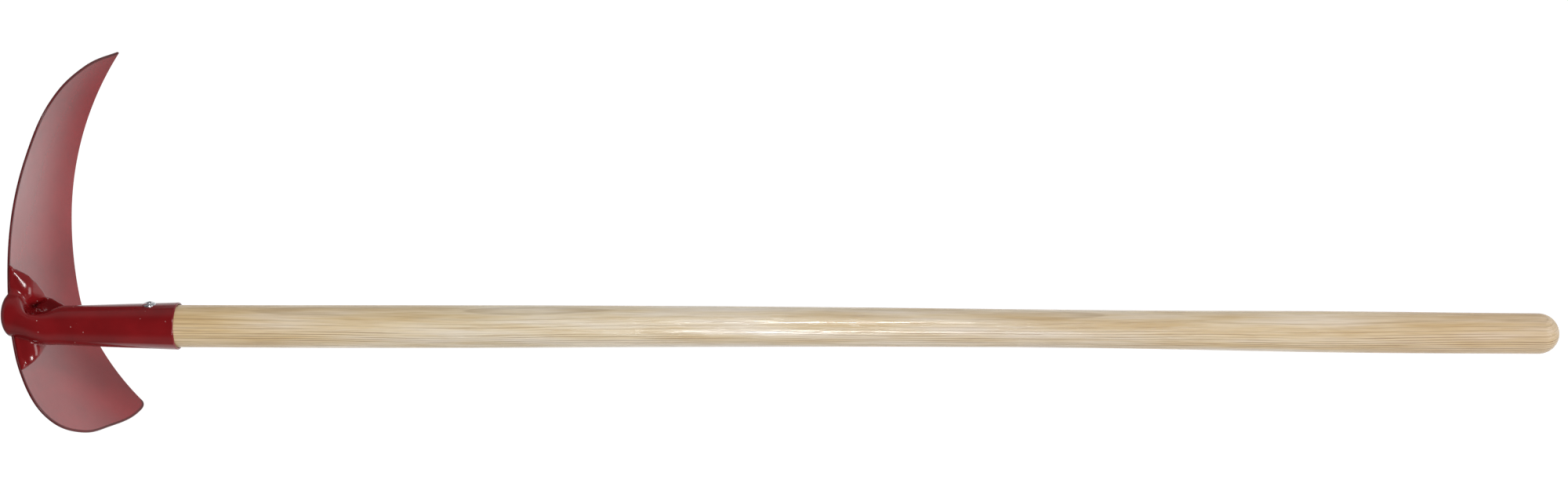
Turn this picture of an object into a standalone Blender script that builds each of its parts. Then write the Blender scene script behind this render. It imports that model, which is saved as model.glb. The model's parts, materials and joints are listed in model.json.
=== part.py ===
# Long-handled cultivator: a one-sided hilling hoe with a pressed and bent steel
# blade, a welded socket and a turned ash handle held by one blind rivet.
#
# Everything is modelled in the tool's own frame: X runs along the handle from the
# socket's closed end to the butt, Y points to the long wing, Z points away from
# the ground.  A root empty then lays the tool down on its cutting edge and butt.

import math

import bmesh
import bpy
from mathutils import Matrix, Vector

MM = 0.001

# Fit between pieces that rest on or pass through each other
CLEARANCE = 0.3 * MM

# Turned handle; distances run from the socket's mouth towards the butt
SHOULDER_RADIUS = 17.6 * MM
BELLY_RADIUS = 17.8 * MM
BELLY_DISTANCE = 180.0 * MM
WAIST_RADIUS = 15.85 * MM
WAIST_DISTANCE = 762.0 * MM
SWELL_RADIUS = 17.2 * MM
SWELL_DISTANCE = 985.0 * MM
BUTT_RADIUS = 16.9 * MM
HANDLE_REACH = 1144.5 * MM
HANDLE_BOW = 2.3 * MM
BUTT_FLAT_RADIUS = 4.0 * MM
SEAT_LENGTH = 97.0 * MM
SEAT_END_RADIUS = 14.2 * MM

# Socket: a tapered tube with a closed, domed end that is drawn to the long wing
SOCKET_LENGTH = 144.5 * MM
SOCKET_WALL = 1.8 * MM
KNUCKLE_RADIUS = 18.7 * MM
DOME_DEPTH = 8.0 * MM
END_SHIFT = 9.0 * MM
SHIFT_LENGTH = 33.0 * MM
BORE_END_X = 46.0 * MM
BORE_OVERRUN = 10.0 * MM

# The tube is drawn in on the long wing's side, beside the long cheek
PINCH = 0.6
PINCH_FROM = 15.0 * MM
PINCH_DEEPEST = 24.0 * MM
PINCH_TO = 53.0 * MM

# Flange: the socket's root on the blade's inner face, outlined by widths and drops
# from the long ear's tip round the tongue to the short ear's tip
FLANGE_OUTLINE = [
    (52.5 * MM, 6.0 * MM),
    (46.5 * MM, 17.0 * MM),
    (42.0 * MM, 30.0 * MM),
    (37.5 * MM, 41.0 * MM),
    (30.0 * MM, 50.0 * MM),
    (21.0 * MM, 59.0 * MM),
    (12.0 * MM, 70.0 * MM),
    (3.0 * MM, 74.0 * MM),
    (-7.0 * MM, 63.0 * MM),
    (-17.0 * MM, 48.0 * MM),
    (-26.6 * MM, 32.0 * MM),
    (-33.0 * MM, 16.0 * MM),
    (-35.7 * MM, 6.0 * MM),
]
FLANGE_EDGE = 2.0 * MM
FLANGE_BULGE = 6.0 * MM
TONGUE_BULGE = 4.0 * MM
BULGE_FADES_FROM = 12.0 * MM
BULGE_FADES_TO = 60.0 * MM
FLANGE_ROLL = 9.0 * MM
FLANGE_SHELF = 12.0 * MM

# Cheeks: the full forms between the tube's end and the ears, each the hull of a few
# balls given by centre and radius
LONG_CHEEK = [
    ((17.5 * MM, 27.0 * MM, -2.5 * MM), 12.5 * MM),
    ((10.0 * MM, 19.0 * MM, 3.0 * MM), 10.0 * MM),
    ((9.5 * MM, 43.0 * MM, -3.0 * MM), 6.0 * MM),
    ((17.5 * MM, 27.0 * MM, -20.0 * MM), 9.5 * MM),
]
SHORT_CHEEK = [
    ((17.5 * MM, -12.0 * MM, -4.0 * MM), 12.0 * MM),
    ((17.0 * MM, -25.0 * MM, -6.5 * MM), 9.0 * MM),
    ((22.0 * MM, -12.0 * MM, -20.0 * MM), 11.0 * MM),
]
CHEEK_ROOM = 60.0 * MM

# Blade blank, cut flat; widths run from the handle's line, drops from the rim line
BLADE_THICKNESS = 2.0 * MM
BLADE_DEPTH = 110.0 * MM
LONG_WING = 246.0 * MM
SHORT_WING = 103.0 * MM
RIM_LEVEL = 10.0 * MM
RIM_DROP = 6.0 * MM
RIM_RISE = 1.5 * MM
RIM_FLAT_TO_LONG = 54.0 * MM
RIM_FLAT_TO_SHORT = 36.0 * MM

# The wings' outlines, as distances in from their ends and drops below the rim line
LONG_SHOULDER = (104.0 * MM, 11.0 * MM)
LONG_BROW = (55.0 * MM, 20.0 * MM)
LONG_FLANK = (19.5 * MM, 59.0 * MM)
SHORT_BROW = (21.0 * MM, 12.5 * MM)
SHORT_FLANK = (1.7 * MM, 37.0 * MM)
SHORT_WIDEST_DROP = 64.0 * MM

# Lower corners: how far in they start, and how far above or below the finished edge
HEEL = (6.7 * MM, 12.0 * MM)
CORNER = (15.0 * MM, 1.8 * MM)
EDGE_ALLOWANCE = 6.0 * MM
TIP_ALLOWANCE = 3.0 * MM

# Blade bends: the dish down its face and the plan curve along its edge
DISH_RADIUS = 337.0 * MM
TOP_LEAN = math.radians(-1.0)
STRAIGHT_AT = 94.0 * MM
LONG_WING_RADIUS = 262.0 * MM
MIDDLE_RADIUS = 330.0 * MM
FOLD_RADIUS = 113.0 * MM
FOLD_FROM = 24.0 * MM
FOLD_TO = -6.0 * MM
SHORT_WING_RADIUS = 215.0 * MM
BEND_SLANT = 0.47
BEND_FAN = -0.8
EDGE_FORWARD = 37.7 * MM

# The cutting edge is ground to the plane that the tool stands on
EDGE_BELOW_AXIS = 102.6 * MM

# Weld seam behind the blade, round the socket's end
SEAM_RADIUS = 1.8 * MM
SEAM_BELOW_RIM = 12.0 * MM

# Blind rivet; its angle runs from the top of the socket to the long wing's side
RIVET_FROM_MOUTH = 22.0 * MM
RIVET_ANGLE = math.radians(72.0)
RIVET_HEAD_RADIUS = 5.5 * MM
RIVET_HEAD_HEIGHT = 1.9 * MM
RIVET_SHANK_RADIUS = 2.4 * MM
RIVET_GRIP = 12.0 * MM
SLEEVE_CHAMFER = 0.5 * MM
MANDREL_RADIUS = 1.35 * MM
MANDREL_RECESS = 1.6 * MM
MANDREL_BULB_LENGTH = 2.6 * MM

# Smoothness of the solids
TUBE_SIDES = 40
HANDLE_SIDES = 32
RIVET_SIDES = 24
FLANGE_RINGS = 9
FLANGE_SPOKES = 36
BALL_SIDES = 24
BLANK_PITCH = 11.0 * MM
ROOM_PITCH = 6.0 * MM

MOUTH_RADIUS = SHOULDER_RADIUS + CLEARANCE + SOCKET_WALL
NECK_RADIUS = SEAT_END_RADIUS + CLEARANCE + SOCKET_WALL
NECK_X = SOCKET_LENGTH - SEAT_LENGTH
HANDLE_END_X = SOCKET_LENGTH + HANDLE_REACH
DOME_CENTRE_X = HANDLE_END_X - math.sqrt(BUTT_RADIUS ** 2 - BUTT_FLAT_RADIUS ** 2)


def smooth(value):
    value = min(1.0, max(0.0, value))
    return value * value * (3.0 - 2.0 * value)


def blend(stations, at):
    # Smooth curve through (place, size) stations
    for (x0, r0), (x1, r1) in zip(stations, stations[1:]):
        if at <= x1:
            return r0 + (r1 - r0) * smooth((at - x0) / (x1 - x0))
    return stations[-1][1]


def steps(start, end, count):
    return [start + (end - start) * i / count for i in range(count + 1)]


# Scene helpers


def clear_scene():
    for item in list(bpy.data.objects):
        bpy.data.objects.remove(item, do_unlink=True)


def new_collection(name):
    group = bpy.data.collections.new(name)
    bpy.context.scene.collection.children.link(group)
    return group


def painted(name, colour, roughness, metallic):
    material = bpy.data.materials.new(name)
    material.use_nodes = True
    shader = material.node_tree.nodes["Principled BSDF"]
    shader.inputs["Base Color"].default_value = (*colour, 1.0)
    shader.inputs["Roughness"].default_value = roughness
    shader.inputs["Metallic"].default_value = metallic
    return material


def add_object(name, data, group, material=None):
    item = bpy.data.objects.new(name, data)
    group.objects.link(item)
    if material:
        data.materials.clear()
        data.materials.append(material)
    return item


def as_cutter(item):
    item.hide_render = True
    item.display_type = "WIRE"
    return item


def evaluated_mesh(item):
    bpy.context.view_layer.update()
    depsgraph = bpy.context.evaluated_depsgraph_get()
    return bpy.data.meshes.new_from_object(item.evaluated_get(depsgraph))


def freeze(item):
    # Swap the object's mesh for the one that its modifiers make
    mesh = evaluated_mesh(item)
    item.modifiers.clear()
    item.data = mesh


def turned(name, profile, sides, group, material=None, closed=False, turn=2.0 * math.pi):
    # Revolve (radius, height) points, given from the top down, about local Z
    mesh = bpy.data.meshes.new(name)
    edges = [(i, i + 1) for i in range(len(profile) - 1)]
    if closed:
        edges.append((len(profile) - 1, 0))
    mesh.from_pydata([(r, 0.0, z) for r, z in profile], edges, [])
    item = add_object(name, mesh, group)
    screw = item.modifiers.new("turn", "SCREW")
    screw.angle = turn
    screw.steps = sides
    screw.render_steps = sides
    screw.use_merge_vertices = True
    screw.merge_threshold = 0.00001
    screw.use_smooth_shade = True
    freeze(item)
    if material:
        item.data.materials.append(material)
    return item


def lay_along_x(item):
    item.data.transform(Matrix.Rotation(math.pi / 2.0, 4, "Y"))


def boolean(item, cutter, operation):
    modifier = item.modifiers.new(cutter.name, "BOOLEAN")
    modifier.object = cutter
    modifier.operation = operation
    modifier.solver = "EXACT"


# Socket


def socket_radius(x):
    # Outer radius: straight taper to the neck, then a swell and a shallow dome
    if x >= NECK_X:
        along = (x - NECK_X) / (SOCKET_LENGTH - NECK_X)
        return NECK_RADIUS + (MOUTH_RADIUS - NECK_RADIUS) * along
    if x >= DOME_DEPTH:
        return blend([(DOME_DEPTH, KNUCKLE_RADIUS), (NECK_X, NECK_RADIUS)], x)
    rise = 1.0 - x / DOME_DEPTH
    return KNUCKLE_RADIUS * math.sqrt(max(0.0, 1.0 - rise * rise))


def socket_profile(inset):
    # The outer shape moved inwards by inset
    points = [(0.0, SOCKET_LENGTH)]
    for x in steps(SOCKET_LENGTH, NECK_X, 6):
        points.append((socket_radius(x) - inset, x))
    for x in steps(NECK_X, DOME_DEPTH, 12)[1:]:
        points.append((socket_radius(x) - inset, x))
    for angle in steps(0.0, math.pi / 2.0, 7)[1:]:
        radius = (KNUCKLE_RADIUS - inset) * math.cos(angle)
        height = DOME_DEPTH - (DOME_DEPTH - inset) * math.sin(angle)
        points.append((max(0.0, radius), height))
    points[-1] = (0.0, points[-1][1])
    return points


def end_shift(x):
    # How far the tube's centre has moved towards the long wing
    return END_SHIFT * smooth((DOME_DEPTH + SHIFT_LENGTH - x) / SHIFT_LENGTH)


def pinch_depth(x):
    # How far the tube's wall is drawn in on the long wing's side
    if x < PINCH_DEEPEST:
        share = smooth((x - PINCH_FROM) / (PINCH_DEEPEST - PINCH_FROM))
    else:
        share = max(0.0, 1.0 - (x - PINCH_DEEPEST) / (PINCH_TO - PINCH_DEEPEST)) ** 2
    return PINCH * share * socket_radius(x)


def socket_solid(name, inset, group, material=None):
    item = turned(name, socket_profile(inset), TUBE_SIDES, group, material)
    lay_along_x(item)
    for vertex in item.data.vertices:
        x, y, z = vertex.co
        if y > 0.0:
            y -= pinch_depth(x) * y / math.hypot(y, z)
        vertex.co.y = y + end_shift(x)
    return item


def bore_solid(name, group):
    # Room for the handle's seated end, run on past the mouth
    past = SOCKET_LENGTH + BORE_OVERRUN
    profile = [(0.0, past)]
    for x in (past, SOCKET_LENGTH, NECK_X, BORE_END_X):
        profile.append((socket_radius(max(x, NECK_X)) - SOCKET_WALL, x))
    profile.append((0.0, BORE_END_X))
    item = as_cutter(turned(name, profile, TUBE_SIDES, group))
    lay_along_x(item)
    return item


# Blade


def plan(s):
    # Plan curve of the cutting edge: arcs that start where it runs square to the handle
    if s > STRAIGHT_AT:
        arcs = [(LONG_WING_RADIUS, s)]
    else:
        arcs = [(MIDDLE_RADIUS, FOLD_FROM), (FOLD_RADIUS, FOLD_TO), (SHORT_WING_RADIUS, s)]
    x, y, heading, at = 0.0, 0.0, 0.0, STRAIGHT_AT
    for radius, limit in arcs:
        end = s if s > STRAIGHT_AT else max(s, limit)
        turned_to = heading + (end - at) / radius
        x += radius * (math.cos(heading) - math.cos(turned_to))
        y += radius * (math.sin(turned_to) - math.sin(heading))
        heading, at = turned_to, end
    return x, y


PLAN_ZERO = plan(0.0)


def dish(drop_along):
    # Forward reach and fall of the face, a shallow arc down from the rim line
    lean = TOP_LEAN + drop_along / DISH_RADIUS
    forward = DISH_RADIUS * (math.cos(TOP_LEAN) - math.cos(lean))
    fall = DISH_RADIUS * (math.sin(lean) - math.sin(TOP_LEAN))
    return forward, fall


def along_dish(fall):
    return DISH_RADIUS * (math.asin(math.sin(TOP_LEAN) + fall / DISH_RADIUS) - TOP_LEAN)


EDGE_REACH = dish(along_dish(BLADE_DEPTH))[0]


def bent(a, t):
    # Where a point of the flat blank lies after bending, on the blade's inner face
    forward, fall = dish(t)
    height = BLADE_DEPTH - fall
    s = (a + BEND_SLANT * height) / (1.0 - BEND_FAN * height)
    x, y = plan(s)
    slant = BEND_SLANT + BEND_FAN * s
    return Vector((
        EDGE_FORWARD + x - PLAN_ZERO[0] + forward - EDGE_REACH,
        y - PLAN_ZERO[1] - slant * height,
        RIM_LEVEL - fall,
    ))


def face_normal(a, t):
    step = 0.5 * MM
    across = bent(a + step, t) - bent(a - step, t)
    down = bent(a, t + step) - bent(a, t - step)
    return down.cross(across).normalized()


def blank_place(y, z):
    # Blank coordinates of the point of the inner face at the given width and height
    t = along_dish(RIM_LEVEL - z)
    a = y
    for _ in range(30):
        a += y - bent(a, t).y
    return a, t


def blank_outline(group):
    # Closed outline of the flat blank, drawn as a 2D curve with X as width, Y up
    nodes = [
        ((LONG_WING, BLADE_DEPTH + TIP_ALLOWANCE), "VECTOR"),
        ((LONG_WING - LONG_FLANK[0], LONG_FLANK[1]), "AUTO"),
        ((LONG_WING - LONG_BROW[0], LONG_BROW[1]), "AUTO"),
        ((LONG_WING - LONG_SHOULDER[0], LONG_SHOULDER[1]), "AUTO"),
        ((RIM_FLAT_TO_LONG, RIM_DROP), "AUTO"),
        ((-RIM_FLAT_TO_SHORT, RIM_DROP - RIM_RISE), "AUTO"),
        ((SHORT_BROW[0] - SHORT_WING, SHORT_BROW[1]), "AUTO"),
        ((SHORT_FLANK[0] - SHORT_WING, SHORT_FLANK[1]), "AUTO"),
        ((-SHORT_WING, SHORT_WIDEST_DROP), "AUTO"),
        ((HEEL[0] - SHORT_WING, BLADE_DEPTH - HEEL[1]), "AUTO"),
        ((CORNER[0] - SHORT_WING, BLADE_DEPTH - CORNER[1]), "AUTO"),
        ((STRAIGHT_AT, BLADE_DEPTH + EDGE_ALLOWANCE), "AUTO"),
    ]
    curve = bpy.data.curves.new("blade_blank", "CURVE")
    curve.dimensions = "2D"
    curve.fill_mode = "BOTH"
    curve.resolution_u = 8
    spline = curve.splines.new("BEZIER")
    spline.bezier_points.add(len(nodes) - 1)
    spline.use_cyclic_u = True
    for point, ((a, t), kind) in zip(spline.bezier_points, nodes):
        point.co = (a, -t, 0.0)
        point.handle_left_type = kind
        point.handle_right_type = kind
    return add_object("blade_blank", curve, group)


def blade_sheet(name, parts, cutters, material):
    # Cut the blank, score it into a fine grid, bend the grid and give it a thickness
    outline = blank_outline(cutters)
    mesh = evaluated_mesh(outline)
    bpy.data.objects.remove(outline)
    shape = bmesh.new()
    shape.from_mesh(mesh)
    bmesh.ops.remove_doubles(shape, verts=shape.verts, dist=0.00002)
    bmesh.ops.dissolve_limit(
        shape, angle_limit=0.001, verts=shape.verts, edges=[e for e in shape.edges if not e.is_boundary])
    for axis in (Vector((1.0, 0.0, 0.0)), Vector((0.0, 1.0, 0.0))):
        reach = [vertex.co.dot(axis) for vertex in shape.verts]
        count = math.ceil((max(reach) - min(reach)) / BLANK_PITCH)
        for place in steps(min(reach), max(reach), count)[1:-1]:
            geometry = shape.verts[:] + shape.edges[:] + shape.faces[:]
            bmesh.ops.bisect_plane(
                shape, geom=geometry, plane_co=axis * place, plane_no=axis, dist=0.00001)
    for vertex in shape.verts:
        vertex.co = bent(vertex.co.x, -vertex.co.y)
    bmesh.ops.recalc_face_normals(shape, faces=shape.faces)
    if sum(face.normal.x for face in shape.faces) < 0.0:
        bmesh.ops.reverse_faces(shape, faces=shape.faces)
    shape.to_mesh(mesh)
    shape.free()
    mesh.name = name
    mesh.shade_smooth()
    item = add_object(name, mesh, parts, material)
    sheet = item.modifiers.new("sheet", "SOLIDIFY")
    sheet.thickness = BLADE_THICKNESS
    sheet.offset = -1.0
    sheet.use_even_offset = True
    return item


# Flange


def flange_reaches(group):
    # The drawn outline as angles and reaches from the middle of the flange's top edge
    curve = bpy.data.curves.new("flange_outline", "CURVE")
    curve.dimensions = "2D"
    curve.fill_mode = "NONE"
    curve.resolution_u = 6
    spline = curve.splines.new("BEZIER")
    spline.bezier_points.add(len(FLANGE_OUTLINE) - 1)
    for point, (a, t) in zip(spline.bezier_points, FLANGE_OUTLINE):
        point.co = (a - END_SHIFT, t - RIM_DROP, 0.0)
        point.handle_left_type = "AUTO"
        point.handle_right_type = "AUTO"
    outline = add_object("flange_outline", curve, group)
    drawn = evaluated_mesh(outline)
    bpy.data.objects.remove(outline)
    return [(math.atan2(vertex.co.y, vertex.co.x), vertex.co.length) for vertex in drawn.vertices]


def reach_at(reaches, angle):
    for (angle0, reach0), (angle1, reach1) in zip(reaches, reaches[1:]):
        if angle <= angle1:
            return reach0 + (reach1 - reach0) * (angle - angle0) / (angle1 - angle0)
    return reaches[-1][1]


def flange_height(t, edge_distance):
    # Thickness over the blade's face: a shelf under the rim and edges that roll down steeply
    shelf_left = 1.0 - min(1.0, (t - RIM_DROP) / FLANGE_SHELF)
    roll_left = 1.0 - min(1.0, max(0.0, edge_distance) / FLANGE_ROLL)
    fade = smooth((t - BULGE_FADES_FROM) / (BULGE_FADES_TO - BULGE_FADES_FROM))
    bulge = FLANGE_BULGE + (TONGUE_BULGE - FLANGE_BULGE) * fade
    return FLANGE_EDGE + bulge * math.sqrt((1.0 - shelf_left ** 2) * (1.0 - roll_left ** 2))


def flange_solid(name, group):
    # A half disc stretched to the outline, laid on the inner face and thickened by its height
    rings = [math.sin(angle) for angle in steps(0.5 * math.pi, 0.0, FLANGE_RINGS)]
    item = turned(name, [(r, 0.0) for r in rings], FLANGE_SPOKES, group, turn=math.pi)
    reaches = flange_reaches(group)
    thickest = FLANGE_EDGE + FLANGE_BULGE
    height = item.vertex_groups.new(name="height")
    for vertex in item.data.vertices:
        x, y = vertex.co.x, abs(vertex.co.y)
        reach = reach_at(reaches, math.atan2(y, x))
        a, t = END_SHIFT + reach * x, RIM_DROP + reach * y
        lift = flange_height(t, reach * (1.0 - math.hypot(x, y)))
        vertex.co = bent(a, t) + face_normal(a, t) * CLEARANCE
        height.add([vertex.index], (lift - CLEARANCE) / thickest, "REPLACE")
    item.data.update()
    if sum(face.normal.x for face in item.data.polygons) < 0.0:
        item.data.flip_normals()
    pad = item.modifiers.new("pad", "SOLIDIFY")
    pad.thickness = thickest
    pad.offset = 1.0
    pad.vertex_group = height.name
    return as_cutter(item)


# Cheeks


def cheek_room(name, group):
    # Everything in front of the blade's inner face, also above its rim
    count = math.ceil(2.0 * CHEEK_ROOM / ROOM_PITCH)
    shape = bmesh.new()
    bmesh.ops.create_grid(shape, x_segments=count, y_segments=count, size=CHEEK_ROOM)
    for vertex in shape.verts:
        a, t = vertex.co.x, RIM_DROP + 0.5 * CHEEK_ROOM - vertex.co.y
        vertex.co = bent(a, t) + face_normal(a, t) * CLEARANCE
    mesh = bpy.data.meshes.new(name)
    shape.to_mesh(mesh)
    shape.free()
    if sum(face.normal.x for face in mesh.polygons) < 0.0:
        mesh.flip_normals()
    item = add_object(name, mesh, group)
    room = item.modifiers.new("room", "SOLIDIFY")
    room.thickness = CHEEK_ROOM
    room.offset = 1.0
    return as_cutter(item)


def cheek_solid(name, balls, room, group):
    # The hull round the balls, cut off along the blade's inner face
    shape = bmesh.new()
    for centre, radius in balls:
        for up in steps(-0.5 * math.pi, 0.5 * math.pi, BALL_SIDES // 2):
            for turn in steps(0.0, 2.0 * math.pi, BALL_SIDES)[:-1]:
                ring = radius * math.cos(up)
                out = Vector((ring * math.cos(turn), ring * math.sin(turn), radius * math.sin(up)))
                shape.verts.new(Vector(centre) + out)
    bmesh.ops.remove_doubles(shape, verts=shape.verts, dist=0.00001)
    bmesh.ops.convex_hull(shape, input=shape.verts)
    spare = [vertex for vertex in shape.verts if not vertex.link_faces]
    bmesh.ops.delete(shape, geom=spare, context="VERTS")
    mesh = bpy.data.meshes.new(name)
    shape.to_mesh(mesh)
    shape.free()
    mesh.shade_smooth()
    item = add_object(name, mesh, group)
    boolean(item, room, "INTERSECT")
    return as_cutter(item)


# Handle


def handle_radius(distance):
    return blend([
        (0.0, SHOULDER_RADIUS),
        (BELLY_DISTANCE, BELLY_RADIUS),
        (WAIST_DISTANCE, WAIST_RADIUS),
        (SWELL_DISTANCE, SWELL_RADIUS),
        (DOME_CENTRE_X - SOCKET_LENGTH, BUTT_RADIUS),
    ], distance)


def handle_profile():
    # From the butt's flat round the dome and down to the seated end
    flat_angle = math.acos(BUTT_FLAT_RADIUS / BUTT_RADIUS)
    points = [(0.0, HANDLE_REACH)]
    for angle in steps(flat_angle, 0.0, 7):
        height = DOME_CENTRE_X - SOCKET_LENGTH + BUTT_RADIUS * math.sin(angle)
        points.append((BUTT_RADIUS * math.cos(angle), height))
    for distance in steps(DOME_CENTRE_X - SOCKET_LENGTH, 0.0, 26)[1:]:
        points.append((handle_radius(distance), distance))
    for distance in steps(0.0, -SEAT_LENGTH, 4)[1:]:
        bore = socket_radius(SOCKET_LENGTH + distance) - SOCKET_WALL
        points.append((bore - CLEARANCE, distance))
    points.append((0.0, -SEAT_LENGTH))
    return points


def make_handle(parts, material):
    item = turned("handle", handle_profile(), HANDLE_SIDES, parts, material)
    lay_along_x(item)
    straight_end = DOME_CENTRE_X - SOCKET_LENGTH
    for vertex in item.data.vertices:
        along = min(1.0, max(0.0, vertex.co.x / straight_end))
        vertex.co.y += HANDLE_BOW * 0.5 * (1.0 - math.cos(2.0 * math.pi * along))
    item.data.set_sharp_from_angle(angle=math.radians(35.0))
    item.location.x = SOCKET_LENGTH
    return item


# Weld seam


def make_seam(parts, material):
    # A round bead that follows the notch behind the blade, from rim to rim
    reach = KNUCKLE_RADIUS + CLEARANCE + SEAM_RADIUS
    start = math.asin((RIM_LEVEL - RIM_DROP - SEAM_BELOW_RIM) / reach)
    curve = bpy.data.curves.new("weld_seam", "CURVE")
    curve.dimensions = "3D"
    curve.bevel_depth = SEAM_RADIUS
    curve.bevel_resolution = 2
    curve.use_fill_caps = True
    spline = curve.splines.new("POLY")
    angles = steps(start, -math.pi - start, 26)
    spline.points.add(len(angles) - 1)
    for point, angle in zip(spline.points, angles):
        y = END_SHIFT + reach * math.cos(angle)
        z = reach * math.sin(angle)
        a, t = blank_place(y, z)
        back = BLADE_THICKNESS + CLEARANCE + SEAM_RADIUS
        centre = bent(a, t) - face_normal(a, t) * back
        point.co = (centre.x, y, z, 1.0)
    wire = add_object("weld_seam_path", curve, parts)
    mesh = evaluated_mesh(wire)
    bpy.data.objects.remove(wire)
    shape = bmesh.new()
    shape.from_mesh(mesh)
    bmesh.ops.remove_doubles(shape, verts=shape.verts, dist=0.00001)
    bmesh.ops.recalc_face_normals(shape, faces=shape.faces)
    shape.to_mesh(mesh)
    shape.free()
    mesh.shade_smooth()
    return add_object("weld_seam", mesh, parts, material)


# Rivet


def rivet_frame():
    # Local Z points out of the socket's wall, local origin lies on its outer face
    x = SOCKET_LENGTH - RIVET_FROM_MOUTH
    turn = Matrix.Rotation(-RIVET_ANGLE, 4, "X")
    lift = Matrix.Translation((0.0, 0.0, socket_radius(x)))
    return Matrix.Translation((x, 0.0, 0.0)) @ turn @ lift


def make_sleeve(parts, material):
    # The domed head alone; its shank is added under it
    sag = RIVET_HEAD_RADIUS ** 2 / (2.0 * MOUTH_RADIUS)
    profile = [(0.0, RIVET_HEAD_HEIGHT)]
    for angle in steps(math.radians(70.0), math.radians(8.0), 5):
        radius = RIVET_HEAD_RADIUS * math.cos(angle)
        profile.append((radius, RIVET_HEAD_HEIGHT * math.sin(angle)))
    profile += [(RIVET_HEAD_RADIUS, -sag), (0.0, -sag)]
    return turned("rivet_sleeve", profile, RIVET_SIDES, parts, material)


def sleeve_shank(cutters):
    top, radius = 0.5 * RIVET_HEAD_HEIGHT, RIVET_SHANK_RADIUS
    profile = [(0.0, top), (radius, top), (radius, -RIVET_GRIP), (0.0, -RIVET_GRIP)]
    return as_cutter(turned("sleeve_shank", profile, RIVET_SIDES, cutters))


def sleeve_bore(cutters):
    # Hole for the mandrel, with a chamfered brim
    hole = MANDREL_RADIUS + CLEARANCE
    top, bottom = 2.0 * RIVET_HEAD_HEIGHT, -RIVET_GRIP - RIVET_HEAD_HEIGHT
    brim = RIVET_HEAD_HEIGHT - SLEEVE_CHAMFER
    profile = [(0.0, top), (hole + top - brim, top), (hole, brim), (hole, bottom), (0.0, bottom)]
    return as_cutter(turned("sleeve_bore", profile, RIVET_SIDES, cutters))


def make_mandrel(parts, material):
    bulb = RIVET_SHANK_RADIUS - 0.1 * MM
    under = RIVET_GRIP + CLEARANCE
    profile = [
        (0.0, RIVET_HEAD_HEIGHT - MANDREL_RECESS),
        (MANDREL_RADIUS, RIVET_HEAD_HEIGHT - MANDREL_RECESS),
        (MANDREL_RADIUS, -under),
        (bulb, -under),
        (bulb, -under - MANDREL_BULB_LENGTH + bulb),
        (0.6 * bulb, -under - MANDREL_BULB_LENGTH),
        (0.0, -under - MANDREL_BULB_LENGTH),
    ]
    item = turned("rivet_mandrel", profile, RIVET_SIDES, parts, material)
    item.data.set_sharp_from_angle(angle=math.radians(40.0))
    return item


def rivet_hole(cutters):
    radius = RIVET_SHANK_RADIUS + CLEARANCE
    bottom = -RIVET_GRIP - MANDREL_BULB_LENGTH - 2.0 * CLEARANCE
    top = 3.0 * RIVET_HEAD_HEIGHT
    profile = [(0.0, top), (radius, top), (radius, bottom), (0.0, bottom)]
    return as_cutter(turned("rivet_hole", profile, RIVET_SIDES, cutters))


# Standing plane


def standing_pitch():
    # Slope of the plane that touches the cutting edge and the underside of the butt
    span = math.hypot(EDGE_BELOW_AXIS, DOME_CENTRE_X)
    return math.asin(EDGE_BELOW_AXIS / span) - math.asin(BUTT_RADIUS / span)


def ground_block(cutters, pitch):
    # Everything of the blade below the standing plane is ground away
    length, depth = 3.0 * BLADE_DEPTH, BLADE_DEPTH
    width = 2.0 * (LONG_WING + SHORT_WING)
    shape = bmesh.new()
    bmesh.ops.create_cube(shape, size=1.0)
    size = Matrix.Diagonal((length, width, depth, 1.0))
    bmesh.ops.transform(shape, matrix=Matrix.Translation((0.0, 0.0, -0.5 * depth)) @ size, verts=shape.verts)
    mesh = bpy.data.meshes.new("ground_block")
    shape.to_mesh(mesh)
    shape.free()
    block = as_cutter(add_object("ground_block", mesh, cutters))
    block.location.z = -EDGE_BELOW_AXIS
    block.rotation_euler.y = -pitch
    return block


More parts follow.
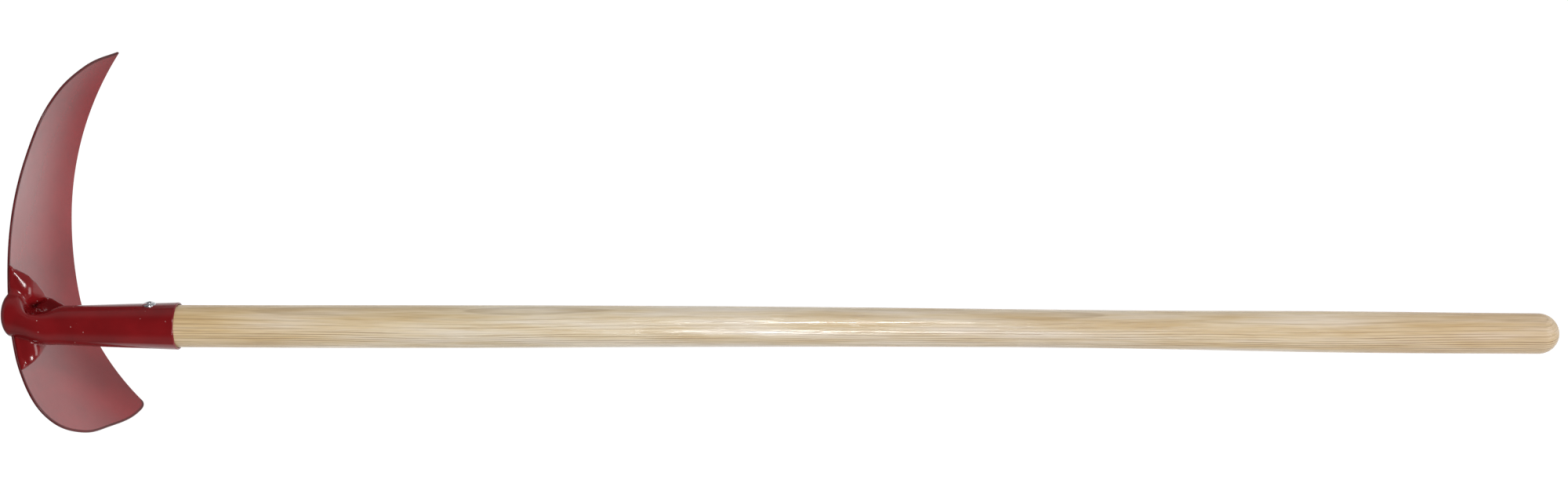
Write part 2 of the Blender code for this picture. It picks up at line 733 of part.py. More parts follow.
def main():
    clear_scene()
    parts = new_collection("long_handled_cultivator")
    cutters = new_collection("cutters")

    paint = painted("red_paint", (0.19, 0.010, 0.014), 0.22, 0.0)
    face_paint = painted("red_face_paint", (0.20, 0.014, 0.018), 0.35, 0.0)
    seam_paint = painted("red_seam_paint", (0.17, 0.010, 0.013), 0.30, 0.0)
    ash = painted("lacquered_ash", (0.62, 0.46, 0.26), 0.35, 0.0)
    zinc = painted("zinc_plated_steel", (0.62, 0.63, 0.65), 0.30, 1.0)
    dull_steel = painted("dull_steel", (0.20, 0.20, 0.21), 0.45, 1.0)

    root = bpy.data.objects.new("tool_frame", None)
    parts.objects.link(root)
    pitch = standing_pitch()

    notch = as_cutter(socket_solid("socket_notch", -CLEARANCE, cutters))
    bore = bore_solid("socket_bore", cutters)
    flange = flange_solid("flange", cutters)
    room = cheek_room("cheek_room", cutters)
    long_cheek = cheek_solid("long_cheek", LONG_CHEEK, room, cutters)
    short_cheek = cheek_solid("short_cheek", SHORT_CHEEK, room, cutters)
    hole = rivet_hole(cutters)
    shank = sleeve_shank(cutters)
    mandrel_room = sleeve_bore(cutters)
    ground = ground_block(cutters, pitch)

    blade = blade_sheet("blade", parts, cutters, face_paint)
    boolean(blade, notch, "DIFFERENCE")
    boolean(blade, ground, "DIFFERENCE")

    socket = socket_solid("socket", 0.0, parts, paint)
    for form in (flange, long_cheek, short_cheek):
        boolean(socket, form, "UNION")
    boolean(socket, bore, "DIFFERENCE")
    boolean(socket, hole, "DIFFERENCE")

    handle = make_handle(parts, ash)
    boolean(handle, hole, "DIFFERENCE")

    seam = make_seam(parts, seam_paint)
    sleeve = make_sleeve(parts, zinc)
    boolean(sleeve, notch, "DIFFERENCE")
    boolean(sleeve, shank, "UNION")
    boolean(sleeve, mandrel_room, "DIFFERENCE")
    mandrel = make_mandrel(parts, dull_steel)

    in_tool_frame = (notch, bore, flange, room, long_cheek, short_cheek, ground, blade, socket, handle, seam)
    for item in in_tool_frame:
        item.parent = root
    for item in (hole, shank, mandrel_room, sleeve, mandrel):
        item.parent = root
        item.matrix_local = rivet_frame()

    # Lay the tool down and centre its box over the origin
    root.rotation_euler.y = pitch
    bpy.context.view_layer.update()
    depsgraph = bpy.context.evaluated_depsgraph_get()
    corners = []
    for item in (blade, socket, handle, seam, sleeve, mandrel):
        solid = item.evaluated_get(depsgraph)
        corners += [solid.matrix_world @ vertex.co for vertex in solid.data.vertices]
    for axis in range(2):
        low, high = min(c[axis] for c in corners), max(c[axis] for c in corners)
        root.location[axis] = -0.5 * (low + high)
    root.location.z = -min(c.z for c in corners)
    bpy.context.view_layer.update()


main()
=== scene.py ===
import json
import math
from functools import partial

import bmesh
import bpy
import numpy as np
from mathutils import Matrix, Vector, geometry


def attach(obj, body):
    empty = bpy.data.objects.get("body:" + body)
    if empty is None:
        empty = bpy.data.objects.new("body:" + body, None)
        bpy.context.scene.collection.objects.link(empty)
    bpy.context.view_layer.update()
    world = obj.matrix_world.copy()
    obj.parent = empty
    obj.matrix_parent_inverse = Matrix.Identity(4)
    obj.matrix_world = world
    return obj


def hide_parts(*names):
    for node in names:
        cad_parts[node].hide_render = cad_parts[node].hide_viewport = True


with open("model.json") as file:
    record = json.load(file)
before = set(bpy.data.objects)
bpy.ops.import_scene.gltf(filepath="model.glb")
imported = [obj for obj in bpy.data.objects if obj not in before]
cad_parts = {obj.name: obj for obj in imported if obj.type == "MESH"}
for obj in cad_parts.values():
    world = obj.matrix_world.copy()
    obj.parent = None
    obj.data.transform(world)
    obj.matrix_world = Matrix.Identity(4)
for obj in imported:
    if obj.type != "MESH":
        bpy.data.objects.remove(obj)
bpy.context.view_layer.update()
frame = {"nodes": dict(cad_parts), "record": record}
print("frame loaded:", sorted(frame["nodes"]))

# Long-handled hilling hoe: a bent steel blade, a welded socket and a turned ash handle.
# Shapes are made along the handle's own axes and then laid down on the ground:
# x runs from the socket's closed end to the butt, y to the long wing, z away from the ground.

mm = 0.001

tool = {
    "length": 1289 * mm,  # closed end of the socket to the flat of the butt
    "buttMountRise": 1.5 * mm,  # the butt's mount lies this far above its centre
    "socketLength": 145.9 * mm,
    "shoulder": 144.5 * mm,  # where the handle's visible part begins, just inside the mouth
}

butt = next(m for m in frame["record"]["mounts"] if m["name"] == "butt_face")
handleLine = Vector(butt["axis"]).normalized()
upLine = Vector((-handleLine.z, 0.0, handleLine.x))
toolOrigin = Vector(butt["pos_m"]) - upLine * tool["buttMountRise"] - handleLine * tool["length"]
toolFrame = Matrix((
    (handleLine.x, 0.0, upLine.x, toolOrigin.x),
    (handleLine.y, 1.0, upLine.y, toolOrigin.y),
    (handleLine.z, 0.0, upLine.z, toolOrigin.z),
    (0.0, 0.0, 0.0, 1.0),
))


# Small helpers


def linear(hexColour):
    # sRGB hex to the linear colour that shaders take
    parts = [int(hexColour[i:i + 2], 16) / 255.0 for i in (1, 3, 5)]
    return tuple(c / 12.92 if c <= 0.04045 else ((c + 0.055) / 1.055) ** 2.4 for c in parts) + (1.0,)


def addNode(tree, kind, inputs=None, stops=None, **settings):
    # One node with its socket values or links, its ramp stops where it has a ramp, and its settings.
    # A kind that is written short has ShaderNode before it.
    node = tree.nodes.new(kind if "Node" in kind else "ShaderNode" + kind)
    for name, value in settings.items():
        setattr(node, name, value)
    fillInputs(node, inputs or {})
    if stops:
        ramp = node.color_ramp
        while len(ramp.elements) < len(stops):
            ramp.elements.new(0.5)
        for element, (position, colour) in zip(ramp.elements, stops):
            element.position = position
            element.color = colour
    return node


def fillInputs(node, inputs):
    # Values are set, and nodes or their sockets are linked
    for socket, value in inputs.items():
        if isinstance(value, bpy.types.Node):
            value = value.outputs[0]
        if isinstance(value, bpy.types.NodeSocket):
            node.id_data.links.new(value, node.inputs[socket])
        else:
            node.inputs[socket].default_value = value


def smooth(value):
    value = min(1.0, max(0.0, value))
    return value * value * (3.0 - 2.0 * value)


def newObject(name, data, material=None):
    thing = bpy.data.objects.new(name, data)
    bpy.context.scene.collection.objects.link(thing)
    if material:
        data.materials.clear()
        data.materials.append(material)
    return thing


def shapedMesh(thing):
    bpy.context.view_layer.update()
    return bpy.data.meshes.new_from_object(thing.evaluated_get(bpy.context.evaluated_depsgraph_get()))


def plainMesh(thing):
    # Swap the object's data for the mesh that its modifiers make
    result = shapedMesh(thing)
    thing.modifiers.clear()
    thing.data = result
    return result


def newMesh(name, points, faces=(), edges=()):
    mesh = bpy.data.meshes.new(name)
    mesh.from_pydata(points, edges, faces)
    return mesh


def turnedMesh(name, profile, sides, around=False):
    # Revolve (x, radius) points about the x axis; zero radii close with a single point
    points, rings, faces = [], [], []
    for x, radius in profile:
        count = sides if radius > 0.0 else 1
        rings.append(list(range(len(points), len(points) + count)))
        for i in range(count):
            angle = 2.0 * math.pi * i / sides
            points.append((x, radius * math.cos(angle), radius * math.sin(angle)))
    pairs = list(zip(rings, rings[1:]))
    if around:
        pairs.append((rings[-1], rings[0]))
    for low, high in pairs:
        for i in range(sides):
            j = (i + 1) % sides
            corners = [low[i % len(low)], low[j % len(low)], high[j % len(high)], high[i % len(high)]]
            faces.append(list(dict.fromkeys(corners)))
    return facesOutward(newMesh(name, points, faces))


def facesOutward(mesh):
    shape = bmesh.new()
    shape.from_mesh(mesh)
    bmesh.ops.recalc_face_normals(shape, faces=shape.faces)
    shape.to_mesh(mesh)
    shape.free()
    mesh.shade_smooth()
    return mesh


def cutBy(thing, other, operation):
    cut = thing.modifiers.new(other.name, "BOOLEAN")
    cut.object = other
    cut.operation = operation
    cut.solver = "EXACT"


def oneSkin(thing):
    # Draw overlapping shells into one even skin
    skin = thing.modifiers.new("skin", "REMESH")
    skin.mode = "VOXEL"
    skin.voxel_size = socketShape["voxel"]
    skin.use_smooth_shade = True
    return plainMesh(thing)


def dropObjects(*things):
    for thing in things:
        bpy.data.objects.remove(thing, do_unlink=True)


# Materials

soft = {"interpolation_type": "SMOOTHSTEP"}  # setting of a ramp that eases in and out


def newMaterial(name):
    # A material, the call that adds nodes to it, and its shader
    material = bpy.data.materials.new(name)
    material.use_nodes = True
    return material, partial(addNode, material.node_tree), material.node_tree.nodes["Principled BSDF"]


def enamelPaint(name, finish):
    # Stoved red enamel over pressed steel: deep colour, soft orange peel, a few dust nibs, each tinted
    # with the finish's glint colour as a painted glint
    material, add, shader = newMaterial(name)
    spot = add("TexCoord").outputs["Object"]
    clouds = add("TexNoise", {
        "Vector": spot, "Scale": 1.0 / finish["cloudSize"], "Detail": 3.0, "Roughness": 0.55})
    tint = add("ValToRGB", {"Fac": clouds}, [
        (0.3, linear(finish["dark"])), (0.7, linear(finish["light"]))])
    peel = add("TexNoise", {"Vector": spot, "Scale": 1.0 / finish["peelSize"], "Roughness": 0.45})
    along = add("Mapping", {"Vector": spot, "Scale": [1.0 / size for size in finish["streakSize"]]})
    streaks = add("TexNoise", {"Vector": along, "Scale": 1.0, "Detail": 3.0})
    sheen = add("MapRange", {
        "Value": streaks, "From Min": 0.35, "From Max": 0.65,
        "To Min": finish["roughness"][0], "To Max": finish["roughness"][1]})
    cells = add("TexVoronoi", {"Vector": spot, "Scale": 1.0 / finish["nibSpacing"]})
    pick = add("SeparateColor", {"Color": cells.outputs["Color"]})
    few = add("Math", {0: pick, 1: 1.0 - finish["nibShare"]}, operation="GREATER_THAN")
    nibs = add("MapRange", {
        "Value": cells.outputs["Distance"], "From Max": finish["nibSize"] / finish["nibSpacing"],
        "To Min": 1.0, "To Max": 0.0}, **soft)
    nibHeight = add("Math", {0: nibs, 1: few}, operation="MULTIPLY")
    bump = add("Bump", {"Height": streaks, "Distance": finish["streakDepth"]})
    for relief, depth in ((peel, "peelDepth"), (nibHeight, "nibHeight")):
        bump = add("Bump", {"Height": relief, "Normal": bump, "Distance": finish[depth]})
    # The gloss is scoured off towards the ground
    low, high = finish["scouredBelow"]
    height = add("SeparateXYZ", {"Vector": spot})
    scoured = add("MapRange", {
        "Value": height.outputs["Z"], "From Min": low, "From Max": high,
        "To Min": finish["scouredLevel"], "To Max": 0.5}, **soft)
    # Painted highlight: where a dust nib stands, the colour turns to the finish's glint colour
    dustedAndGlinting = add("Mix", {0: nibHeight, 6: tint, 7: linear(finish["nibGlint"])}, data_type="RGBA")
    fillInputs(shader, {
        "Base Color": dustedAndGlinting.outputs[2], "Roughness": sheen, "Specular IOR Level": scoured,
        "Normal": bump, "IOR": finish["ior"]})
    return material


glossFinish = {
    "dark": "#6e0f13", "light": "#7e1317", "cloudSize": 30 * mm,
    "peelSize": 2.2 * mm, "peelDepth": 0.012 * mm,
    "streakSize": (60 * mm, 7 * mm, 7 * mm), "streakDepth": 0.012 * mm,
    # The nibs' pale tint is a painted glint
    "nibGlint": "#d8b4ae", "nibSpacing": 7.5 * mm, "nibSize": 0.6 * mm,
    "nibShare": 0.85, "nibHeight": 0.12 * mm,
    "scouredBelow": (0.0, 60 * mm), "scouredLevel": 0.45,
    "roughness": (0.13, 0.2), "ior": 1.52,
}
# The blade's red is lighter than the socket's: painted light for the face that the lamps reach less
satinLitFinish = dict(
    glossFinish, dark="#7b1219", light="#87161d", nibGlint="#87161d", nibSpacing=14 * mm, ior=2.0,
    roughness=(0.2, 0.26), scouredBelow=(10 * mm, 75 * mm), scouredLevel=0.2,
    peelSize=4 * mm, peelDepth=0.006 * mm,
    streakSize=(2.5 * mm, 90 * mm, 2.5 * mm), streakDepth=0.006 * mm)
weldFinish = dict(
    glossFinish, dark="#661014", light="#741519", roughness=(0.2, 0.32), peelSize=1.4 * mm,
    peelDepth=0.05 * mm)
# The rim's darker red is painted shade on the sheet's edge
edgeShadeFinish = dict(glossFinish, dark="#4a0a0e", light="#5c0e12", roughness=(0.3, 0.4))

glossEnamel = enamelPaint("glossEnamel", glossFinish)  # socket: wet-looking red with sharp highlights
satinLitEnamel = enamelPaint("satinLitEnamel", satinLitFinish)  # blade: softer, faintly streaked down the face, in a lighter red than the socket's as painted light on the face
shadedEdgeEnamel = enamelPaint("shadedEdgeEnamel", edgeShadeFinish)  # blade's rim: a darker red as painted shade on the sheet's edge
weldEnamel = enamelPaint("weldEnamel", weldFinish)  # seam: the same paint, thinner over the ripples


def lacqueredWood(name, grain):
    # Ash: dark porous growth lines that run the whole length, under clear lacquer
    material, add, shader = newMaterial(name)
    spot = add("TexCoord").outputs["Object"]
    # Turned so that x runs along the handle and z across the growth rings
    turn = (grain["ringTilt"], math.atan2(-handleLine.z, handleLine.x), 0.0)
    straight = add("Mapping", {
        "Vector": spot, "Location": toolOrigin, "Rotation": turn}, vector_type="TEXTURE")
    drift, pores, patches = (add("TexNoise", {
        "Vector": add("Mapping", {
            "Vector": straight, "Scale": [1.0 / size for size in grain[sizes]]}),
        "Scale": 1.0, "Detail": detail, "Roughness": roughness})
        for sizes, detail, roughness in (
            ("waveSize", 1.0, 0.5), ("poreSize", 2.0, 0.6), ("patchSize", 3.0, 0.5)))
    axes = add("SeparateXYZ", {"Vector": straight}).outputs
    sway = add("Math", {0: drift, 1: grain["waveDepth"], 2: axes["Z"]}, operation="MULTIPLY_ADD")
    rings = add("Math", {0: sway, 1: grain["ringSpacing"]}, operation="DIVIDE")
    place = add("Math", {0: rings}, operation="FRACT")
    ringNumber = add("Math", {0: rings}, operation="FLOOR")
    line = add("ValToRGB", {"Fac": place}, [
        (at, (level, level, level, 1.0)) for at, level in grain["lineProfile"]])
    # Every ring takes its breaks from another part of one noise
    lineLength, lineWidth = grain["lineSize"]
    breaks = add("TexNoise", {
        "Vector": add("CombineXYZ", {
            "X": add("Math", {0: axes["X"], 1: lineLength}, operation="DIVIDE"),
            "Y": add("Math", {0: ringNumber, 1: grain["ringStep"]}, operation="MULTIPLY"),
            "Z": add("Math", {0: axes["Y"], 1: lineWidth}, operation="DIVIDE")}),
        "Scale": 1.0})
    strength, dashes = (add("MapRange", {
        "Value": noise, "From Min": low, "From Max": high})
        for noise, (low, high) in ((breaks, grain["lineBreaks"]), (pores, grain["poreDashes"])))
    # The growth lines stand closer and darker on the side turned away from the long wing
    middle, side = toolOrigin.y, grain["linedSide"]
    turnedAway = add("MapRange", {
        "Value": add("SeparateXYZ", {"Vector": spot}).outputs["Y"], "From Min": middle - side,
        "From Max": middle + side, "To Min": 1.0, "To Max": grain["plainSide"]}, **soft)
    lines = add("Math", {
        0: add("Math", {0: line, 1: strength}, operation="MULTIPLY"),
        1: turnedAway}, operation="MULTIPLY")
    streaky = add("ValToRGB", {"Fac": patches}, [
        (at, linear(tone)) for at, tone in grain["tones"]])
    # More golden towards the socket and the butt, creamy between them, and darker in the middle as
    # painted shade where the lamps light the handle most
    agedAndShaded = add("ValToRGB", {
        "Fac": add("Math", {0: axes["X"], 1: grain["span"]}, operation="DIVIDE")},
        [(at / grain["span"], linear(tone)) for at, tone in grain["agedAndShaded"]])
    darken = {"data_type": "RGBA", "blend_type": "MULTIPLY"}
    colour = add("Mix", {0: 1.0, 6: streaky, 7: agedAndShaded}, **darken)
    for marks, depth, tone in ((dashes, "poreDepth", "pore"), (lines, "lineDepth", "line")):
        share = add("Math", {0: marks, 1: grain[depth]}, operation="MULTIPLY")
        colour = add("Mix", {0: share, 6: colour.outputs[2], 7: linear(grain[tone])}, **darken)
    relief = add("Math", {0: dashes, 1: lines}, operation="ADD")
    grainBump = add("Bump", {"Height": relief, "Distance": grain["relief"]}, invert=True)
    gloss = add("MapRange", {
        "Value": pores, "From Min": 0.3, "From Max": 0.7,
        "To Min": grain["roughness"][0], "To Max": grain["roughness"][1]})
    fillInputs(shader, {
        "Base Color": colour.outputs[2], "Roughness": gloss, "Normal": grainBump, "IOR": 1.5})
    return material


lacqueredAsh = lacqueredWood("lacqueredAsh", {
    "ringTilt": math.radians(-50.0), "ringSpacing": 2.1 * mm,
    "ringStep": 7.31,  # from ring to ring in the noise that breaks the lines
    "waveSize": (260 * mm, 45.4545 * mm, 45.4545 * mm), "waveDepth": 7 * mm,
    "linedSide": 7 * mm, "plainSide": 0.3,
    "line": "#8a6a48", "lineDepth": 0.82, "lineBreaks": (0.32, 0.54),
    "lineSize": (120 * mm, 33.3333 * mm),
    "lineProfile": [(0.0, 0.0), (0.06, 1.0), (0.2, 0.7), (0.34, 0.0)],
    "pore": "#b0946e", "poreDepth": 0.3, "poreDashes": (0.48, 0.66),
    "poreSize": (34 * mm, 0.5 * mm, 0.5 * mm),  # real pores are 0.2 mm wide, too fine to show
    "patchSize": (130 * mm, 9 * mm, 9 * mm),
    "tones": [(0.34, "#d8bd8c"), (0.5, "#e6d2aa"), (0.7, "#efe1c6")],
    "span": 1.3,
    # The middle stops darken the handle as painted shade where the lamps' light falls strongest
    "agedAndShaded": [
        (0.17, "#ede6e0"), (0.4, "#eef2ff"), (0.86, "#e6e7f4"), (1.06, "#ecebf2"), (1.22, "#e5dcd8")],
    "relief": 0.06 * mm, "roughness": (0.13, 0.24),
})


def bareMetal(name, finish):
    # Steel with a thin plating or a dull skin: soft cloudy reflections and fine scratches
    material, add, shader = newMaterial(name)
    spot = add("TexCoord").outputs["Object"]
    clouds = add("TexNoise", {"Vector": spot, "Scale": 1.0 / finish["cloudSize"], "Detail": 4.0})
    tint = add("ValToRGB", {"Fac": clouds}, [
        (0.35, linear(finish["dark"])), (0.65, linear(finish["light"]))])
    blur = add("MapRange", {
        "Value": clouds, "From Min": 0.35, "From Max": 0.65,
        "To Min": finish["roughness"][0], "To Max": finish["roughness"][1]})
    grit = add("TexNoise", {"Vector": spot, "Scale": 1.0 / finish["gritSize"]})
    bump = add("Bump", {"Height": grit, "Distance": finish["gritDepth"]})
    fillInputs(shader, {"Base Color": tint, "Roughness": blur, "Normal": bump, "Metallic": 1.0})
    return material


# Rivet: bright zinc plate, blurred by the plating's fine grain
zincPlate = bareMetal("zincPlate", {
    "dark": "#b9bcc0", "light": "#dadde0", "cloudSize": 2.5 * mm, "roughness": (0.2, 0.34),
    "gritSize": 0.35 * mm, "gritDepth": 0.01 * mm})
# Pulled stem of the rivet at the bottom of the hollow: dull steel, coloured dark as painted shade of
# the hollow
shadedDullSteel = bareMetal("shadedDullSteel", {
    "dark": "#4c4b4a", "light": "#6d6c6a", "cloudSize": 1.5 * mm, "roughness": (0.42, 0.6),
    "gritSize": 0.3 * mm, "gritDepth": 0.02 * mm})
print("materials made")


# Blade form: a flat blank is dished down its face and bent along slanted lines

bladeShape = {
    "thickness": 2 * mm,
    "depth": 110 * mm,
    "rimLevel": 10 * mm,
    "rimDrop": 6 * mm,
    "dishRadius": 337 * mm,
    "topLean": math.radians(-1.0),
    "straightAt": 94 * mm,
    "longArc": 262 * mm,
    "shortArcs": [(330 * mm, 24 * mm), (113 * mm, -6 * mm)],
    "lastArc": 215 * mm,
    "slant": 0.47,
    "fan": -0.8,
    "edgeForward": 37.7 * mm,
    "edgeRounding": 0.55 * mm,
    "notchInset": 0.25 * mm,  # the notch is cut this much smaller than the socket's end
    "pitch": 3.2 * mm,
}


def planCurve(s):
    # Plan of the cutting edge: arcs from the place where it runs square to the handle
    start = bladeShape["straightAt"]
    if s > start:
        arcs = [(bladeShape["longArc"], s)]
    else:
        arcs = bladeShape["shortArcs"] + [(bladeShape["lastArc"], s)]
    x, y, heading, at = 0.0, 0.0, 0.0, start
    for radius, limit in arcs:
        end = s if s > start else max(s, limit)
        turned = heading + (end - at) / radius
        x += radius * (math.cos(heading) - math.cos(turned))
        y += radius * (math.sin(turned) - math.sin(heading))
        heading, at = turned, end
    return x, y


def dishAt(drop):
    radius, lean0 = bladeShape["dishRadius"], bladeShape["topLean"]
    lean = lean0 + drop / radius
    return radius * (math.cos(lean0) - math.cos(lean)), radius * (math.sin(lean) - math.sin(lean0))


def dropAtFall(fall):
    radius, lean0 = bladeShape["dishRadius"], bladeShape["topLean"]
    return radius * (math.asin(math.sin(lean0) + fall / radius) - lean0)


planZero = planCurve(0.0)
edgeReach = dishAt(dropAtFall(bladeShape["depth"]))[0]


def bladePoint(width, drop):
    # Where a point of the flat blank lies on the bent blade's inner face
    forward, fall = dishAt(drop)
    height = bladeShape["depth"] - fall
    s = (width + bladeShape["slant"] * height) / (1.0 - bladeShape["fan"] * height)
    x, y = planCurve(s)
    slant = bladeShape["slant"] + bladeShape["fan"] * s
    return Vector((
        bladeShape["edgeForward"] + x - planZero[0] + forward - edgeReach,
        y - planZero[1] - slant * height,
        bladeShape["rimLevel"] - fall,
    ))


def bladeNormal(width, drop):
    step = 0.5 * mm
    across = bladePoint(width + step, drop) - bladePoint(width - step, drop)
    down = bladePoint(width, drop + step) - bladePoint(width, drop - step)
    return down.cross(across).normalized()


def liftedPoint(width, drop, lift):
    return bladePoint(width, drop) + bladeNormal(width, drop) * lift


def blankPlace(y, z):
    # Blank width and drop of the inner face's point at the given y and z
    drop = dropAtFall(bladeShape["rimLevel"] - z)
    width = y
    for _ in range(30):  # settles well within these steps
        width += y - bladePoint(width, drop).y
    return width, drop


def outlineLoop(nodes, corners, spacing):
    # A closed outline through (width, drop) nodes in mm, sharp at its corners, as even points
    curve = bpy.data.curves.new("outline", "CURVE")
    curve.dimensions = "2D"
    curve.fill_mode = "NONE"
    curve.resolution_u = 24
    spline = curve.splines.new("BEZIER")
    spline.bezier_points.add(len(nodes) - 1)
    spline.use_cyclic_u = True
    for i, (point, (width, drop)) in enumerate(zip(spline.bezier_points, nodes)):
        point.co = (width * mm, drop * mm, 0.0)
        point.handle_left_type = point.handle_right_type = "VECTOR" if i in corners else "AUTO"
    thing = newObject("outline", curve)
    loop = np.array([vertex.co[:2] for vertex in shapedMesh(thing).vertices])
    dropObjects(thing)
    closed = np.vstack([loop, loop[:1]])
    lengths = np.concatenate([[0.0], np.cumsum(np.linalg.norm(np.diff(closed, axis=0), axis=1))])
    count = int(round(lengths[-1] / spacing))
    places = np.linspace(0.0, lengths[-1], count, endpoint=False)
    return np.column_stack([np.interp(places, lengths, closed[:, i]) for i in (0, 1)])


def loopInset(loop, distance):
    # The loop moved inwards by a distance
    ahead, behind = np.roll(loop, -1, axis=0), np.roll(loop, 1, axis=0)
    along = ahead - behind
    along /= np.linalg.norm(along, axis=1)[:, None]
    inward = np.column_stack([-along[:, 1], along[:, 0]])
    area = np.sum(loop[:, 0] * ahead[:, 1] - ahead[:, 0] * loop[:, 1])
    moved = loop + inward * (distance if area > 0.0 else -distance)
    if distance > 0.0:
        # Points that would cross over at a sharp corner gather on their nearest neighbour
        crossed = loopDistance(moved, loop) < 0.97 * distance
        sound = moved[~crossed]
        for i in np.flatnonzero(crossed):
            moved[i] = sound[np.argmin(np.linalg.norm(sound - moved[i], axis=1))]
    return moved


def loopDistance(points, loop, openAbove=None):
    # Distance from each point to the loop's nearest edge, leaving out edges above a drop if asked
    starts, ends = loop, np.roll(loop, -1, axis=0)
    if openAbove is not None:
        keep = np.maximum(starts[:, 1], ends[:, 1]) > openAbove
        starts, ends = starts[keep], ends[keep]
    edges = ends - starts
    nearest = np.full(len(points), 1.0)
    for start, edge in zip(starts, edges):
        share = np.clip(((points - start) @ edge) / max(edge @ edge, 1e-18), 0.0, 1.0)
        away = points - (start + share[:, None] * edge)
        nearest = np.minimum(nearest, np.hypot(away[:, 0], away[:, 1]))
    return nearest


def insideLoop(points, loop):
    starts, ends = loop, np.roll(loop, -1, axis=0)
    inside = np.zeros(len(points), bool)
    for (x0, y0), (x1, y1) in zip(starts, ends):
        if y0 != y1:
            crosses = (points[:, 1] > y0) != (points[:, 1] > y1)
            reach = x0 + (points[:, 1] - y0) / (y1 - y0) * (x1 - x0)
            inside ^= crosses & (points[:, 0] < reach)
    return inside


def bentSheet(name, loop, rim, pitch, topLift, bottomLift):
    # A closed sheet on the bent blade: rings over its rim, then triangles on both faces.
    # rim lists (inset, lift) from the top face round to the bottom face, None for the top's lift.
    rings = [(loopInset(loop, inset), lift) for inset, lift in rim]
    inner = rings[0][0]
    low, high = inner.min(axis=0), inner.max(axis=0)
    grid = []
    rowStep = pitch * 0.866  # rows of an even triangle grid
    for row, drop in enumerate(np.arange(low[1], high[1], rowStep)):
        shift = 0.5 * pitch * (row % 2)
        grid += [(width, drop) for width in np.arange(low[0] + shift, high[0], pitch)]
    grid = np.array(grid)
    grid = grid[insideLoop(grid, inner)]
    grid = grid[loopDistance(grid, inner) > 0.6 * pitch]
    flat, _, faces, sources = geometry.delaunay_2d_cdt(
        [Vector(p) for p in np.vstack([inner, grid])], [], [list(range(len(inner)))], 1, 1e-7)[:4]
    made = {source: i for i, given in enumerate(sources) for source in given}
    order = [made[i] for i in range(len(inner))]
    points = [liftedPoint(w, d, topLift(w, d)) for w, d in flat]
    ringIds = [order]
    for ring, lift in rings[1:-1]:
        ringIds.append(list(range(len(points), len(points) + len(ring))))
        points += [liftedPoint(w, d, topLift(w, d) if lift is None else lift) for w, d in ring]
    base = len(points)
    points += [liftedPoint(w, d, bottomLift) for w, d in flat]
    ringIds.append([base + i for i in order])
    solid = [list(face) for face in faces] + [[base + i for i in reversed(face)] for face in faces]
    for low, high in zip(ringIds, ringIds[1:]):
        for i in range(len(low)):
            j = (i + 1) % len(low)
            corners = list(dict.fromkeys([low[i], low[j], high[j], high[i]]))
            if len(corners) > 2:
                solid.append(corners)
    mesh = newMesh(name, points, solid)
    rimFaces = len(solid) - 2 * len(faces)
    mesh.polygons.foreach_set("material_index", [0] * (2 * len(faces)) + [1] * rimFaces)
    return newObject(name, facesOutward(mesh))


def socketRadius(x):
    # Outer radius: straight taper to the neck, then a swell and a shallow dome
    neckX, neck = socketShape["neckX"], socketShape["neckRadius"]
    dome, ball = socketShape["domeDepth"], socketShape["ballRadius"]
    if x >= neckX:
        along = (x - neckX) / (tool["socketLength"] - neckX)
        return neck + (socketShape["mouthRadius"] - neck) * along
    if x >= dome:
        return ball + (neck - ball) * smooth((x - dome) / (neckX - dome))
    rise = 1.0 - x / dome
    return ball * math.sqrt(max(0.0, 1.0 - rise * rise))


def endShift(x):
    # How far the closed end is drawn towards the long wing
    reach = socketShape["domeDepth"] + socketShape["shiftLength"]
    return socketShape["endShift"] * smooth((reach - x) / socketShape["shiftLength"])


socketShape = {
    "wall": 1.8 * mm,
    "ballRadius": 18.7 * mm, "neckRadius": 16.3 * mm, "mouthRadius": 19.7 * mm,
    "neckX": 47.5 * mm, "domeDepth": 8 * mm,
    "endShift": 9 * mm, "shiftLength": 33 * mm,
    "boreEnd": 47.2 * mm, "borePast": 10 * mm,
    "crown": (12 * mm, 19 * mm, 8 * mm),  # the skin is drawn smoothest round this point
    "crownReach": 15 * mm, "crownFull": 1.4,
    "pinch": 0.9,  # how much of the tube's long-wing side is drawn in beside the cheek
    "pinchFrom": 15 * mm, "pinchDeepest": 25 * mm, "pinchTo": 49.5 * mm,
    "pinchFade": 1.5, "pinchRound": 1.2,
    "lipRounding": 0.9 * mm,
    "turnedFrom": 64 * mm,  # from here to the mouth the skin is set back on its exact radius
    "easedTo": 66 * mm, "easeFade": 8 * mm, "easeLeast": 0.12,
    "sides": 128, "voxel": 0.8 * mm,
}


def pinchAt(x):
    # Share of the half width that is left on the long wing's side
    start, deepest, end = (socketShape[key] for key in ("pinchFrom", "pinchDeepest", "pinchTo"))
    if x < deepest:
        return 1.0 - socketShape["pinch"] * smooth((x - start) / (deepest - start))
    fading = (1.0 - min(1.0, (x - deepest) / (end - deepest))) ** socketShape["pinchFade"]
    return 1.0 - socketShape["pinch"] * fading


def socketSolid(name, inset):
    # The outer shape, moved inwards by inset
    neckX, dome = socketShape["neckX"], socketShape["domeDepth"]
    profile = []
    for angle in np.linspace(0.0, 0.5 * math.pi, 17):
        profile.append((
            dome - (dome - inset) * math.cos(angle),
            (socketShape["ballRadius"] - inset) * math.sin(angle)))
    for start, end, count in ((dome, neckX, 28), (neckX, tool["socketLength"], 40)):
        profile += [(x, socketRadius(x) - inset) for x in np.linspace(start, end, count)[1:]]
    profile.append((profile[-1][0], 0.0))
    mesh = turnedMesh(name, profile, socketShape["sides"])
    for vertex in mesh.vertices:
        x, y, z = vertex.co
        if y > 0.0:
            y *= 1.0 - (1.0 - pinchAt(x)) * (y / math.hypot(y, z)) ** socketShape["pinchRound"]
        vertex.co.y = endShift(x) + y
    return newObject(name, mesh)


